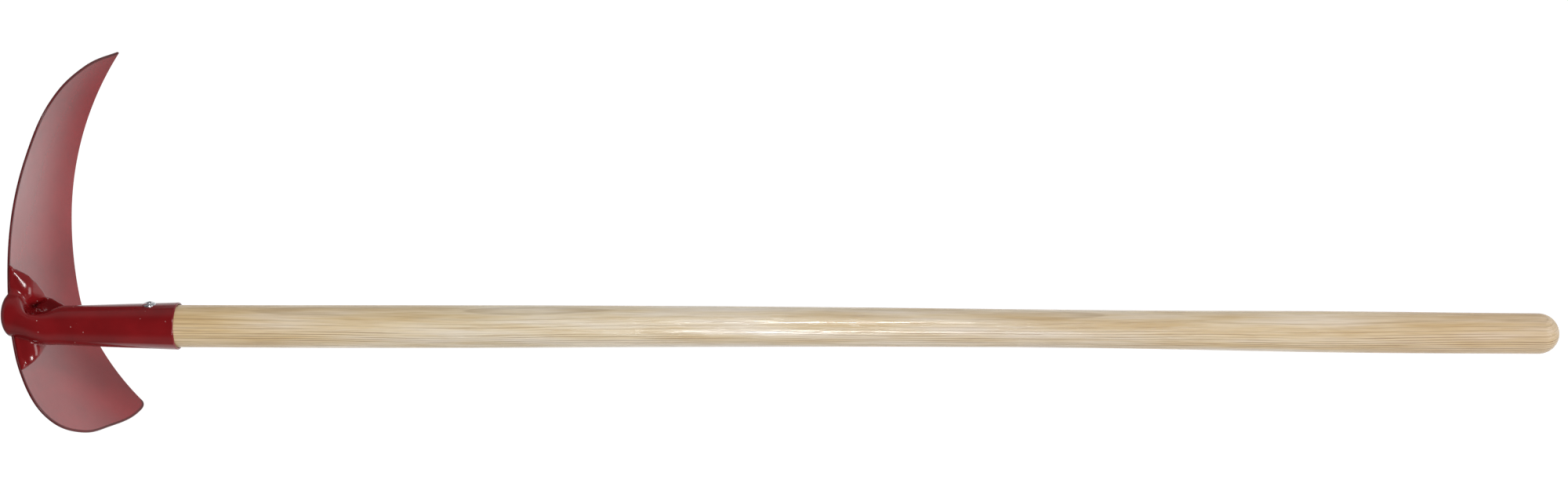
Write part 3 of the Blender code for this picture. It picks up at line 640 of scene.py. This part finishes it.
def boreSolid(name):
    # The handle's seat, run on past the mouth
    profile = [(socketShape["boreEnd"], 0.0)]
    mouth = tool["socketLength"]
    for x in (socketShape["boreEnd"], mouth, mouth + socketShape["borePast"]):
        profile.append((x, socketRadius(max(x, socketShape["neckX"])) - socketShape["wall"]))
    profile.append((profile[-1][0], 0.0))
    return newObject(name, turnedMesh(name, profile, socketShape["sides"]))


# Blade: the sheet, ground flat along its edge and notched for the socket

bladeLoop = outlineLoop([
    (246, 113), (226.5, 59), (191, 20), (142, 11), (54, 6), (-36, 4.5),
    (-82, 12.5), (-101.3, 37), (-103, 64), (-96.3, 98), (-88, 108.2), (94, 116),
], [0], 1.6 * mm)


def roundedRim(thickness, radius):
    # (inset, lift) steps over a sheet's rounded edge
    steps = [(3.0 * radius, 0.0)]
    for side in (0, 1):
        for angle in (0.0, 30.0, 60.0, 90.0):
            turn = math.radians(angle if side == 0 else 90.0 - angle)
            inset, sink = radius * (1.0 - math.sin(turn)), radius * (1.0 - math.cos(turn))
            steps.append((inset, -sink if side == 0 else sink - thickness))
    return steps + [(3.0 * radius, -thickness)]


blade = bentSheet(
    "hoe_blade", bladeLoop, roundedRim(bladeShape["thickness"], bladeShape["edgeRounding"]),
    bladeShape["pitch"], lambda w, d: 0.0, -bladeShape["thickness"])
for paint in (satinLitEnamel, shadedEdgeEnamel):
    blade.data.materials.append(paint)
notch = socketSolid("notch", bladeShape["notchInset"])
cutBy(blade, notch, "DIFFERENCE")
bladeMesh = plainMesh(blade)
bladeMesh.transform(toolFrame)
shape = bmesh.new()
shape.from_mesh(bladeMesh)
bmesh.ops.bisect_plane(
    shape, geom=shape.verts[:] + shape.edges[:] + shape.faces[:], plane_co=(0.0, 0.0, 0.0),
    plane_no=(0.0, 0.0, -1.0), clear_outer=True, dist=1e-7)
bmesh.ops.holes_fill(shape, edges=[edge for edge in shape.edges if edge.is_boundary])
bmesh.ops.triangulate(shape, faces=[face for face in shape.faces if len(face.verts) > 4])
shape.to_mesh(bladeMesh)
shape.free()
facesOutward(bladeMesh)
bladeMesh.set_sharp_from_angle(angle=math.radians(38.0))
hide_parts("blade")
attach(blade, "root")
print("blade:", len(bladeMesh.polygons), "faces")


# Socket: tube, closed end and the spread root on the blade, drawn into one skin

rootShape = {
    "edge": 1.8 * mm, "roll": 9 * mm,
    "bulge": 6 * mm, "tongueBulge": 4 * mm, "bulgeFades": (12 * mm, 60 * mm),
    "shelfFrom": 5 * mm, "shelf": 12 * mm,
    "rimOpen": 5.3 * mm,  # the outline's edges above this drop don't roll down
    "rimInset": 1.2 * mm, "rimRounding": 0.3 * mm, "rimShare": 0.7,
    "sunk": 0.6 * mm, "pitch": 2 * mm,
    "room": 60 * mm, "roomOutline": [(60, -30), (60, 60), (-60, 60), (-60, -30)],
    "roomInset": 2 * mm, "roomPitch": 5 * mm,
}
rootLoop = outlineLoop([
    (52, 4.5), (46.3, 13), (43.5, 27.5), (39.5, 39.5), (31.5, 52.5), (23.5, 60.5), (20.5, 70.5),
    (16, 84), (6, 91), (-3, 82), (-10, 62), (-18, 49.5), (-24.4, 39.5),
    (-30.5, 26.5), (-34.2, 14), (-36.5, 4.5),
], [0, 15], 1.2 * mm)


def rootLift(width, drop):
    # Height over the blade: a shelf under the rim and edges that roll down steeply
    below = max(0.0, drop - rootShape["shelfFrom"])
    shelfLeft = 1.0 - min(1.0, below / rootShape["shelf"])
    fromEdge = float(loopDistance(np.array([[width, drop]]), rootLoop, rootShape["rimOpen"])[0])
    rollLeft = 1.0 - min(1.0, fromEdge / rootShape["roll"])
    start, end = rootShape["bulgeFades"]
    full, tongue = rootShape["bulge"], rootShape["tongueBulge"]
    bulge = full + (tongue - full) * smooth((drop - start) / (end - start))
    return rootShape["edge"] + bulge * math.sqrt((1.0 - shelfLeft ** 2) * (1.0 - rollLeft ** 2))


# Full forms of the root, each the hull of a few eggs: centre and half sizes in mm
rootForms = {
    "longCheek": [((14.5, 28, -4), (11.5, 14.5, 9.3)), ((6, 30, -2), (8, 12, 7.3)),
                  ((8.5, 43, -0.4), (5, 4, 5)), ((18, 38, -8), (7, 7, 8.5)),
                  ((27, 25, -16), (6, 6, 8)), ((11, 26.5, -26), (9, 9, 9))],
    "shortCheek": [((21, -23, -3), (10.6, 14, 8.3)), ((12, -25, -2.2), (8, 11, 7.3)),
                   ((19.5, -8, -3), (9, 9, 8.3)), ((30, -12, -16), (5, 5, 6)),
                   ((16, -14, -26), (9, 9, 9))],
    "saddle": [((8, 13, 8.5), (8, 7, 7.5)), ((9, 30, -2.6), (8, 7, 7.5))],
    "web": [((24, 17, -17), (4, 4, 4)), ((47, 10, -17), (4, 4, 4)),
            ((45, 18, -17), (4, 4, 4)), ((31, 24, -17), (4, 4, 4)),
            ((22, 16, -34), (6, 6, 6)), ((30, 7, -19), (6, 6, 6))],
}

# The forms are trimmed along this outline, in mm, by a cut that leans towards the butt
trimOutline = [
    (-12, 60), (3, 56), (6.8, 51), (11.4, 45.8), (17.2, 43.2), (21.5, 40.8), (24, 38),
    (27.8, 35.3), (30.4, 31.5), (32.4, 29.3), (35.4, 23.9), (41.3, 22.1), (45.2, 19.8), (49.7, 17.6),
    (58, 8), (50, -6), (36.5, -15.3), (35.3, -17.9), (32.8, -21.8), (28.9, -26.8),
    (25.9, -29.9), (22.7, -32.4), (17.8, -34.9), (14.3, -36.1), (-12, -38)]
trimLean = (0.344, 0.038)
trimReach = (60 * mm, -60 * mm)


def trimSolid(name):
    count = len(trimOutline)
    points = [
        (x * mm + trimLean[0] * z, y * mm + trimLean[1] * z, z)
        for z in trimReach for x, y in trimOutline]
    faces = [list(range(count)), list(range(2 * count - 1, count - 1, -1))]
    faces += [[i, (i + 1) % count, count + (i + 1) % count, count + i] for i in range(count)]
    return newObject(name, facesOutward(newMesh(name, points, faces)))


def eggHull(name, eggs):
    # Evenly spread points on each egg, wrapped in one hull
    count = np.arange(900) + 0.5
    height = 1.0 - 2.0 * count / len(count)
    turn = count * math.pi * (3.0 - math.sqrt(5.0))
    level = np.sqrt(1.0 - height ** 2)
    sphere = np.column_stack([level * np.cos(turn), level * np.sin(turn), height])
    shape = bmesh.new()
    for centre, halves in eggs:
        for point in (np.array(centre) + sphere * halves) * mm:
            shape.verts.new(point)
    bmesh.ops.convex_hull(shape, input=shape.verts)
    inside = [vertex for vertex in shape.verts if not vertex.link_faces]
    bmesh.ops.delete(shape, geom=inside, context="VERTS")
    mesh = bpy.data.meshes.new(name)
    shape.to_mesh(mesh)
    shape.free()
    return newObject(name, mesh)


sunk, inset, rounding = (rootShape[key] for key in ("sunk", "rimInset", "rimRounding"))
spread = bentSheet(
    "spread", rootLoop,
    [(inset, None), (rounding, None), (0.0, rootShape["rimShare"] * rootShape["edge"]), (0.0, 0.0),
     (rounding, -sunk), (inset, -sunk)],
    rootShape["pitch"], rootLift, -sunk)
# Everything in front of the blade's face, also above its rim
inset, pitch = rootShape["roomInset"], rootShape["roomPitch"]
room = bentSheet(
    "room", outlineLoop(rootShape["roomOutline"], range(4), pitch),
    [(inset, None), (0.0, None), (0.0, -sunk), (inset, -sunk)],
    pitch, lambda w, d: rootShape["room"], -sunk)
trim = trimSolid("trim")
bore = boreSolid("bore")
socket = socketSolid("hoe_socket", 0.0)
forms = [eggHull(name, eggs) for name, eggs in rootForms.items()]
root = bmesh.new()
root.from_mesh(spread.data)
for form in forms:
    cutBy(form, room, "INTERSECT")
    cutBy(form, trim, "INTERSECT")
    root.from_mesh(plainMesh(form))
root.to_mesh(spread.data)
root.free()
oneSkin(spread)
cutBy(socket, spread, "UNION")
cutBy(socket, bore, "DIFFERENCE")

rivetShape = {
    "fromShoulder": 22 * mm, "angle": math.radians(72.0),
    "headRadius": 5.5 * mm, "headHeight": 1.9 * mm, "dome": (66.0, 6.0), "domeSteps": 12,
    "shankRadius": 2.4 * mm, "grip": 12 * mm, "undercut": 0.1 * mm, "hole": 1.65 * mm,
    "hollowRim": [(0.6, 0.0), (0.2, 0.12), (0.0, 0.5)],  # (below the top, outside the hole) in mm
    "sides": 56, "drill": (-20 * mm, 6 * mm), "drillSides": 32,
}
rivetX = tool["shoulder"] - rivetShape["fromShoulder"]
# The rivet's own x axis points out of the wall, from the tube's outer face
rivetFrame = (
    Matrix.Translation((rivetX, 0.0, 0.0)) @ Matrix.Rotation(-rivetShape["angle"], 4, "X")
    @ Matrix.Translation((0.0, 0.0, socketRadius(rivetX))) @ Matrix.Rotation(-0.5 * math.pi, 4, "Y"))
inner, outer = rivetShape["drill"]
shank = rivetShape["shankRadius"]
drillMesh = turnedMesh("drill", [
    (inner, 0.0), (inner, shank), (outer, shank), (outer, 0.0)], rivetShape["drillSides"])
drillMesh.transform(rivetFrame)
drill = newObject("drill", drillMesh)
cutBy(socket, drill, "DIFFERENCE")
plainMesh(socket)
socketMesh = oneSkin(socket)

# Ease the root into the tube, and put the turned part back on its exact radius
wallMiddle = 0.5 * socketShape["wall"]
eased = socket.vertex_groups.new(name="eased")
for vertex in socketMesh.vertices:
    x, y, z = vertex.co
    radius = math.hypot(y - endShift(x), z)
    ideal = socketRadius(x) - wallMiddle
    if x > socketShape["turnedFrom"] and abs(radius - ideal) < 2.0 * socketShape["wall"]:
        lip = x - (tool["socketLength"] - socketShape["lipRounding"])
        if lip > 0.0:
            reach = math.hypot(lip, radius - ideal)
            scale = socketShape["lipRounding"] / max(reach, 1e-9)
            x, newRadius = x - lip + lip * scale, ideal + (radius - ideal) * scale
        else:
            newRadius = ideal + math.copysign(wallMiddle, radius - ideal)
        factor = newRadius / radius
        vertex.co = (x, y * factor, z * factor)
    else:
        crown = (vertex.co - Vector(socketShape["crown"])).length / socketShape["crownReach"]
        share = max(socketShape["easeLeast"], smooth(socketShape["crownFull"] - crown))
        share *= smooth((socketShape["easedTo"] - x) / socketShape["easeFade"])
        eased.add([vertex.index], share, "REPLACE")
ease = socket.modifiers.new("ease", "SMOOTH")
ease.factor = 0.5
ease.iterations = 30
ease.vertex_group = "eased"
socketMesh = plainMesh(socket)
socketMesh.transform(toolFrame)
socketMesh.materials.clear()
socketMesh.materials.append(glossEnamel)
socketMesh.shade_smooth()
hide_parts("socket")
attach(socket, "root")
print("socket:", len(socketMesh.polygons), "faces")


# Weld bead behind the blade: ripples that follow the notch round the closed end

seamShape = {
    "melted": 0.6 * mm,  # how far the bead runs into the ball and the blade
    "belowRim": 12 * mm, "stations": 60, "step": 0.4 * mm, "sides": 20,
    "wanderSize": 6.25 * mm, "endRadius": 0.2,
}
ripples = {
    "Radius": 1.8 * mm, "Ripple": 2.4 * mm, "Ripple Depth": 0.22 * mm,
    "Wander": 0.25 * mm, "End Share": 0.05, "Seed": 4.0,
}


def seamPath():
    standsOff = ripples["Radius"] - seamShape["melted"]
    reach = socketShape["ballRadius"] + standsOff
    endLevel = bladeShape["rimLevel"] - bladeShape["rimDrop"] - seamShape["belowRim"]
    start = math.asin(endLevel / reach)
    points = []
    for angle in np.linspace(start, -math.pi - start, seamShape["stations"]):
        y = socketShape["endShift"] + reach * math.cos(angle)
        z = reach * math.sin(angle)
        behind = liftedPoint(*blankPlace(y, z), -(bladeShape["thickness"] + standsOff))
        points.append((behind.x, y, z))
    return newMesh("weld_bead", points, edges=[(i, i + 1) for i in range(len(points) - 1)])


def newTree(name, numbers):
    # A tree with named inputs, the call that adds nodes to it, its inputs and its output node
    tree = bpy.data.node_groups.new(name, "GeometryNodeTree")
    for way in ("INPUT", "OUTPUT"):
        tree.interface.new_socket("Geometry", in_out=way, socket_type="NodeSocketGeometry")
    for label in numbers:
        tree.interface.new_socket(label, in_out="INPUT", socket_type="NodeSocketFloat")
    add = partial(addNode, tree)
    return tree, add, add("NodeGroupInput").outputs, add("NodeGroupOutput")


def finishTree(add, output, made, material):
    real = add("GeometryNodeRealizeInstances", {"Geometry": made})
    shaded = add("GeometryNodeSetShadeSmooth", {"Geometry": real})
    fillInputs(output, {0: add("GeometryNodeSetMaterial", {"Geometry": shaded, "Material": material})})


def rippleTree():
    tree, add, size, output = newTree("weldRipples", ripples)
    spline = add("GeometryNodeResampleCurve", {
        "Curve": add("GeometryNodeMeshToCurve", {"Mesh": size["Geometry"]}),
        "Length": seamShape["step"]}, mode="LENGTH")
    along = add("GeometryNodeSplineParameter").outputs
    phase = add("Math", {0: along["Length"], 1: size["Ripple"]}, operation="DIVIDE")
    saw = add("Math", {0: phase}, operation="FRACT")
    arch = add("Math", {0: saw}, operation="SQRT")
    noise = add("TexNoise", {
        "W": size["Seed"], "Scale": 1.0 / seamShape["wanderSize"]}, noise_dimensions="4D")
    uneven = add("Math", {0: noise, 1: size["Wander"], 2: size["Radius"]}, operation="MULTIPLY_ADD")
    lower = add("Math", {0: arch, 1: size["Ripple Depth"]}, operation="MULTIPLY")
    # Both ends of the bead run out to a point
    fromEnd = add("Math", {
        0: along["Factor"],
        1: add("Math", {0: 1.0, 1: along["Factor"]}, operation="SUBTRACT")}, operation="MINIMUM")
    fullness = add("MapRange", {
        "Value": fromEnd, "From Max": size["End Share"], "To Min": seamShape["endRadius"]}, **soft)
    rippled = add("Math", {0: uneven, 1: lower}, operation="SUBTRACT")
    radius = add("Math", {0: rippled, 1: fullness}, operation="MULTIPLY")
    bead = add("GeometryNodeCurveToMesh", {
        "Curve": spline, "Scale": radius, "Fill Caps": True,
        "Profile Curve": add("GeometryNodeCurvePrimitiveCircle", {"Resolution": seamShape["sides"]})})
    finishTree(add, output, bead, weldEnamel)
    return tree


def grownPiece(name, mesh, tree, values):
    # Run a tree with its named inputs set, keep the plain result and take the modifier off
    thing = newObject(name, mesh)
    grow = thing.modifiers.new("grow", "NODES")
    grow.node_group = tree
    for item in tree.interface.items_tree:
        if item.in_out == "INPUT" and item.name in values:
            grow[item.identifier] = values[item.name]
    plainMesh(thing)
    return thing


seam = grownPiece("weld_bead", seamPath(), rippleTree(), ripples)
seam.data.transform(toolFrame)
facesOutward(seam.data)
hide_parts("weld_seam")
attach(seam, "root")
print("weld bead:", len(seam.data.polygons), "faces")


# Handle: one rule gives its radius along its length, and a slight bow bends it

handleShape = {
    "Seat Length": 97 * mm, "Seat Radius": 14.2 * mm, "Shoulder Radius": 17.6 * mm,
    "Belly Radius": 17.8 * mm, "Belly Distance": 180 * mm,
    "Waist Radius": 15.85 * mm, "Waist Distance": 762 * mm,
    "Swell Radius": 17.2 * mm, "Swell Distance": 985 * mm,
    "Butt Radius": 16.9 * mm, "Butt Distance": 1128.08 * mm, "Butt Flat Radius": 4 * mm,
    "Bow": 2.3 * mm,
}
handleStations = {"body": 190, "dome": 18, "sides": 96}


def handleTree():
    tree, add, given, output = newTree("turnedHandle", handleShape)
    body, dome = handleStations["body"], handleStations["dome"]
    line = add("GeometryNodeResampleCurve", {
        "Curve": add("GeometryNodeCurvePrimitiveLine"), "Count": body + dome}, mode="COUNT")
    index = add("GeometryNodeInputIndex")
    known = {socket.name: socket for socket in given}
    known["body share"] = add("MapRange", {"Value": index, "From Max": body - 1.0})
    known["dome share"] = add("MapRange", {
        "Value": index, "From Min": body - 1.0, "From Max": body + dome - 1.0})
    # Each row is one step of the sums: its name, its operation and what it works on
    for name, operation, *parts in (
            ("reach", "ADD", "Butt Distance", "Seat Length"),
            ("along", "MULTIPLY", "body share", "reach"),
            ("distance", "SUBTRACT", "along", "Seat Length"),
            ("seat start", "MULTIPLY", "Seat Length", -1.0),
            ("flat share", "DIVIDE", "Butt Flat Radius", "Butt Radius"),
            ("last angle", "ARCCOSINE", "flat share"),
            ("angle", "MULTIPLY", "dome share", "last angle"),
            ("narrowing", "COSINE", "angle"),
            ("rise", "SINE", "angle"),
            ("x", "MULTIPLY_ADD", "rise", "Butt Radius", "distance"),
            ("half bow", "MULTIPLY", "Bow", 0.5)):
        known[name] = add("Math", {
            i: known.get(part, part) for i, part in enumerate(parts)}, operation=operation)
    distance = known["distance"]
    radius = add("MapRange", {
        "Value": distance, "From Min": known["seat start"], "From Max": 0.0,
        "To Min": known["Seat Radius"], "To Max": known["Shoulder Radius"]})
    start, before = 0.0, known["Shoulder Radius"]
    for part in ("Belly", "Waist", "Swell", "Butt"):
        place, after = known[part + " Distance"], known[part + " Radius"]
        swelling = add("MapRange", {
            "Value": distance, "From Min": start, "From Max": place,
            "To Max": add("Math", {0: after, 1: before}, operation="SUBTRACT")}, **soft)
        radius = add("Math", {0: radius, 1: swelling}, operation="ADD")
        start, before = place, after
    radius = add("Math", {0: radius, 1: known["narrowing"]}, operation="MULTIPLY")
    # The bow is one slow wave from the shoulder to the butt
    turn = add("MapRange", {
        "Value": distance, "From Max": known["Butt Distance"], "To Max": 2.0 * math.pi})
    wave = add("Math", {
        0: 1.0, 1: add("Math", {0: turn}, operation="COSINE")}, operation="SUBTRACT")
    sway = add("Math", {0: wave, 1: known["half bow"]}, operation="MULTIPLY")
    placed = add("GeometryNodeSetPosition", {
        "Geometry": line, "Position": add("CombineXYZ", {"X": known["x"], "Y": sway})})
    turned = add("GeometryNodeCurveToMesh", {
        "Curve": placed, "Scale": radius, "Fill Caps": True,
        "Profile Curve": add("GeometryNodeCurvePrimitiveCircle", {
            "Resolution": handleStations["sides"]})})
    finishTree(add, output, turned, lacqueredAsh)
    return tree


handle = grownPiece("ash_handle", newMesh("ash_handle", []), handleTree(), handleShape)
handle.data.transform(Matrix.Translation((tool["shoulder"], 0.0, 0.0)))
facesOutward(handle.data)
cutBy(handle, drill, "DIFFERENCE")
plainMesh(handle)
handle.data.transform(toolFrame)
handle.data.set_sharp_from_angle(angle=math.radians(40.0))
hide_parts("handle")
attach(handle, "root")
print("handle:", len(handle.data.polygons), "faces")


# Blind rivet: a domed sleeve with a hollow, over the broken stem


def rivetProfile():
    # (height, radius) steps from the hollow's rim over the dome to the far end
    top, head, hole = rivetShape["headHeight"], rivetShape["headRadius"], rivetShape["hole"]
    steps = [(top - below * mm, hole + outside * mm) for below, outside in rivetShape["hollowRim"]]
    for angle in np.linspace(*(math.radians(a) for a in rivetShape["dome"]), rivetShape["domeSteps"]):
        steps.append((top * math.sin(angle), head * math.cos(angle)))
    sag = head ** 2 / (2.0 * socketShape["mouthRadius"])
    shank, grip, under = rivetShape["shankRadius"], rivetShape["grip"], head - rivetShape["undercut"]
    return steps + [(0.0, head), (-sag, under), (-sag, shank), (-grip, shank), (-grip, hole)]


sleeveMesh = turnedMesh("rivet_head", rivetProfile(), rivetShape["sides"], around=True)
sleeveMesh.transform(toolFrame @ rivetFrame)
sleeveMesh.set_sharp_from_angle(angle=math.radians(40.0))
sleeve = newObject("rivet_head", sleeveMesh, zincPlate)
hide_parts("rivet_sleeve")
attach(sleeve, "root")
# The stem's dark colour is painted shade of the hollow
frame["nodes"]["rivet_mandrel"].material_slots[0].material = shadedDullSteel
dropObjects(notch, bore, spread, room, trim, drill, *forms)
print("rivet made")


# Studio: a wide white floor, a bright surround that darkens overhead, and three soft lamps

studio = {
    "floorHalf": 45.0,
    "floorDrop": 0.4 * mm,
    "floorColour": "#f4f4f4",
    "floorGlow": 0.86,
    "whiteness": 1.13,
    # Painted reflection: seen in a gloss, the paper's glow fades towards the far side and ends behind
    # the head
    "farReflectionGlow": 0.42,
    "reflectionDarkensFrom": (20 * mm, 130 * mm),
    "reflectionEndsAt": (-750 * mm, -660 * mm),
    "endReflectionGlow": 0.12,
    "side": 0.3,
    "overhead": 0.06,
    "darkens": (68.0, 38.0),  # the surround darkens between these angles from straight up
    # place, width, depth, watts and the point that each lamp is turned to
    "lamps": [
        ((0.74, 0.95, 1.8), 0.34, 0.5, 17.0, (0.55, 0.0, 0.0)),
        ((0.74, -0.95, 1.8), 0.34, 0.5, 21.0, (0.55, 0.0, 0.0)),
        ((4.0, 0.1, 2.4), 2.4, 1.8, 60.0, (0.2, 0.0, 0.0)),
    ],
}


def floorFinish():
    # White paper, kept white where it is seen straight or in a gloss, with the shadow left in; in a
    # gloss its glow is shaped into a painted reflection
    material, add, _ = newMaterial("whitePaper")
    material.node_tree.nodes.clear()
    path = add("LightPath").outputs
    bounced = add("Math", {
        0: path["Is Glossy Ray"], 1: path["Is Transmission Ray"]}, operation="MAXIMUM")
    seen = add("Math", {0: path["Is Camera Ray"], 1: bounced}, operation="MAXIMUM")
    share = add("Math", {0: seen, 1: studio["floorGlow"]}, operation="MULTIPLY")
    paper = add("BsdfDiffuse", {"Color": linear(studio["floorColour"])})
    # Painted reflection: in a gloss the paper's glow darkens towards the far side and ends behind the
    # head
    place = add("SeparateXYZ", {"Vector": add("TexCoord").outputs["Object"]})
    falling, ending = (add("MapRange", {
        "Value": place.outputs[axis], "From Min": low, "From Max": high,
        "To Min": before, "To Max": after}, **soft)
        for axis, (low, high), (before, after) in (
            ("Y", studio["reflectionDarkensFrom"], (studio["whiteness"], studio["farReflectionGlow"])),
            ("X", studio["reflectionEndsAt"], (studio["endReflectionGlow"], 1.0))))
    paintedReflectionLevel = add("Math", {0: falling, 1: ending}, operation="MULTIPLY")
    whiteness = add("Mix", {0: path["Is Camera Ray"], 2: paintedReflectionLevel, 3: studio["whiteness"]})
    glow = add("Emission", {"Strength": whiteness})
    mixed = add("MixShader", {0: share, 1: paper, 2: glow})
    add("OutputMaterial", {"Surface": mixed})
    return material


half = studio["floorHalf"]
floorMesh = newMesh("floor", [(x * half, y * half, -studio["floorDrop"]) for x, y in (
    (-1, -1), (1, -1), (1, 1), (-1, 1))], [(0, 1, 2, 3)])
floor = newObject("floor", floorMesh, floorFinish())

world = bpy.data.worlds.new("studioSurround")
world.use_nodes = True
bpy.context.scene.world = world
world.node_tree.nodes.clear()
add = partial(addNode, world.node_tree)
direction = add("SeparateXYZ", {0: add("TexCoord").outputs["Generated"]})
low, high = (math.cos(math.radians(angle)) for angle in studio["darkens"])
level = add("MapRange", {
    "Value": direction.outputs["Z"], "From Min": low, "From Max": high,
    "To Min": studio["side"], "To Max": studio["overhead"]}, **soft)
surround = add("Background", {"Color": (1.0, 1.0, 1.0, 1.0), "Strength": level})
add("OutputWorld", {"Surface": surround})

for number, (place, width, depth, watts, aim) in enumerate(studio["lamps"]):
    light = bpy.data.lights.new(f"lamp{number}", "AREA")
    light.shape = "RECTANGLE"
    light.size = width
    light.size_y = depth
    light.energy = watts
    lamp = newObject(light.name, light)
    start, end = toolFrame @ Vector(place), toolFrame @ Vector(aim)
    aimed = (end - start).to_track_quat("-Z", "Y").to_matrix().to_4x4()
    lamp.matrix_world = Matrix.Translation(start) @ aimed

cameraPlace = {"spot": (0.647, 0.0683, 1.806), "roll": math.radians(0.316)}
lens = bpy.data.cameras.new("camera")
lens.lens = 50.0
lens.sensor_width = 36.0
lens.clip_start = 0.01
lens.clip_end = 200.0
camera = newObject("camera", lens)
rolled = Matrix.Rotation(cameraPlace["roll"], 4, "Z")
camera.matrix_world = toolFrame @ Matrix.Translation(cameraPlace["spot"]) @ rolled
bpy.context.scene.camera = camera
bpy.context.scene.view_settings.view_transform = "Standard"
print("studio and camera set")
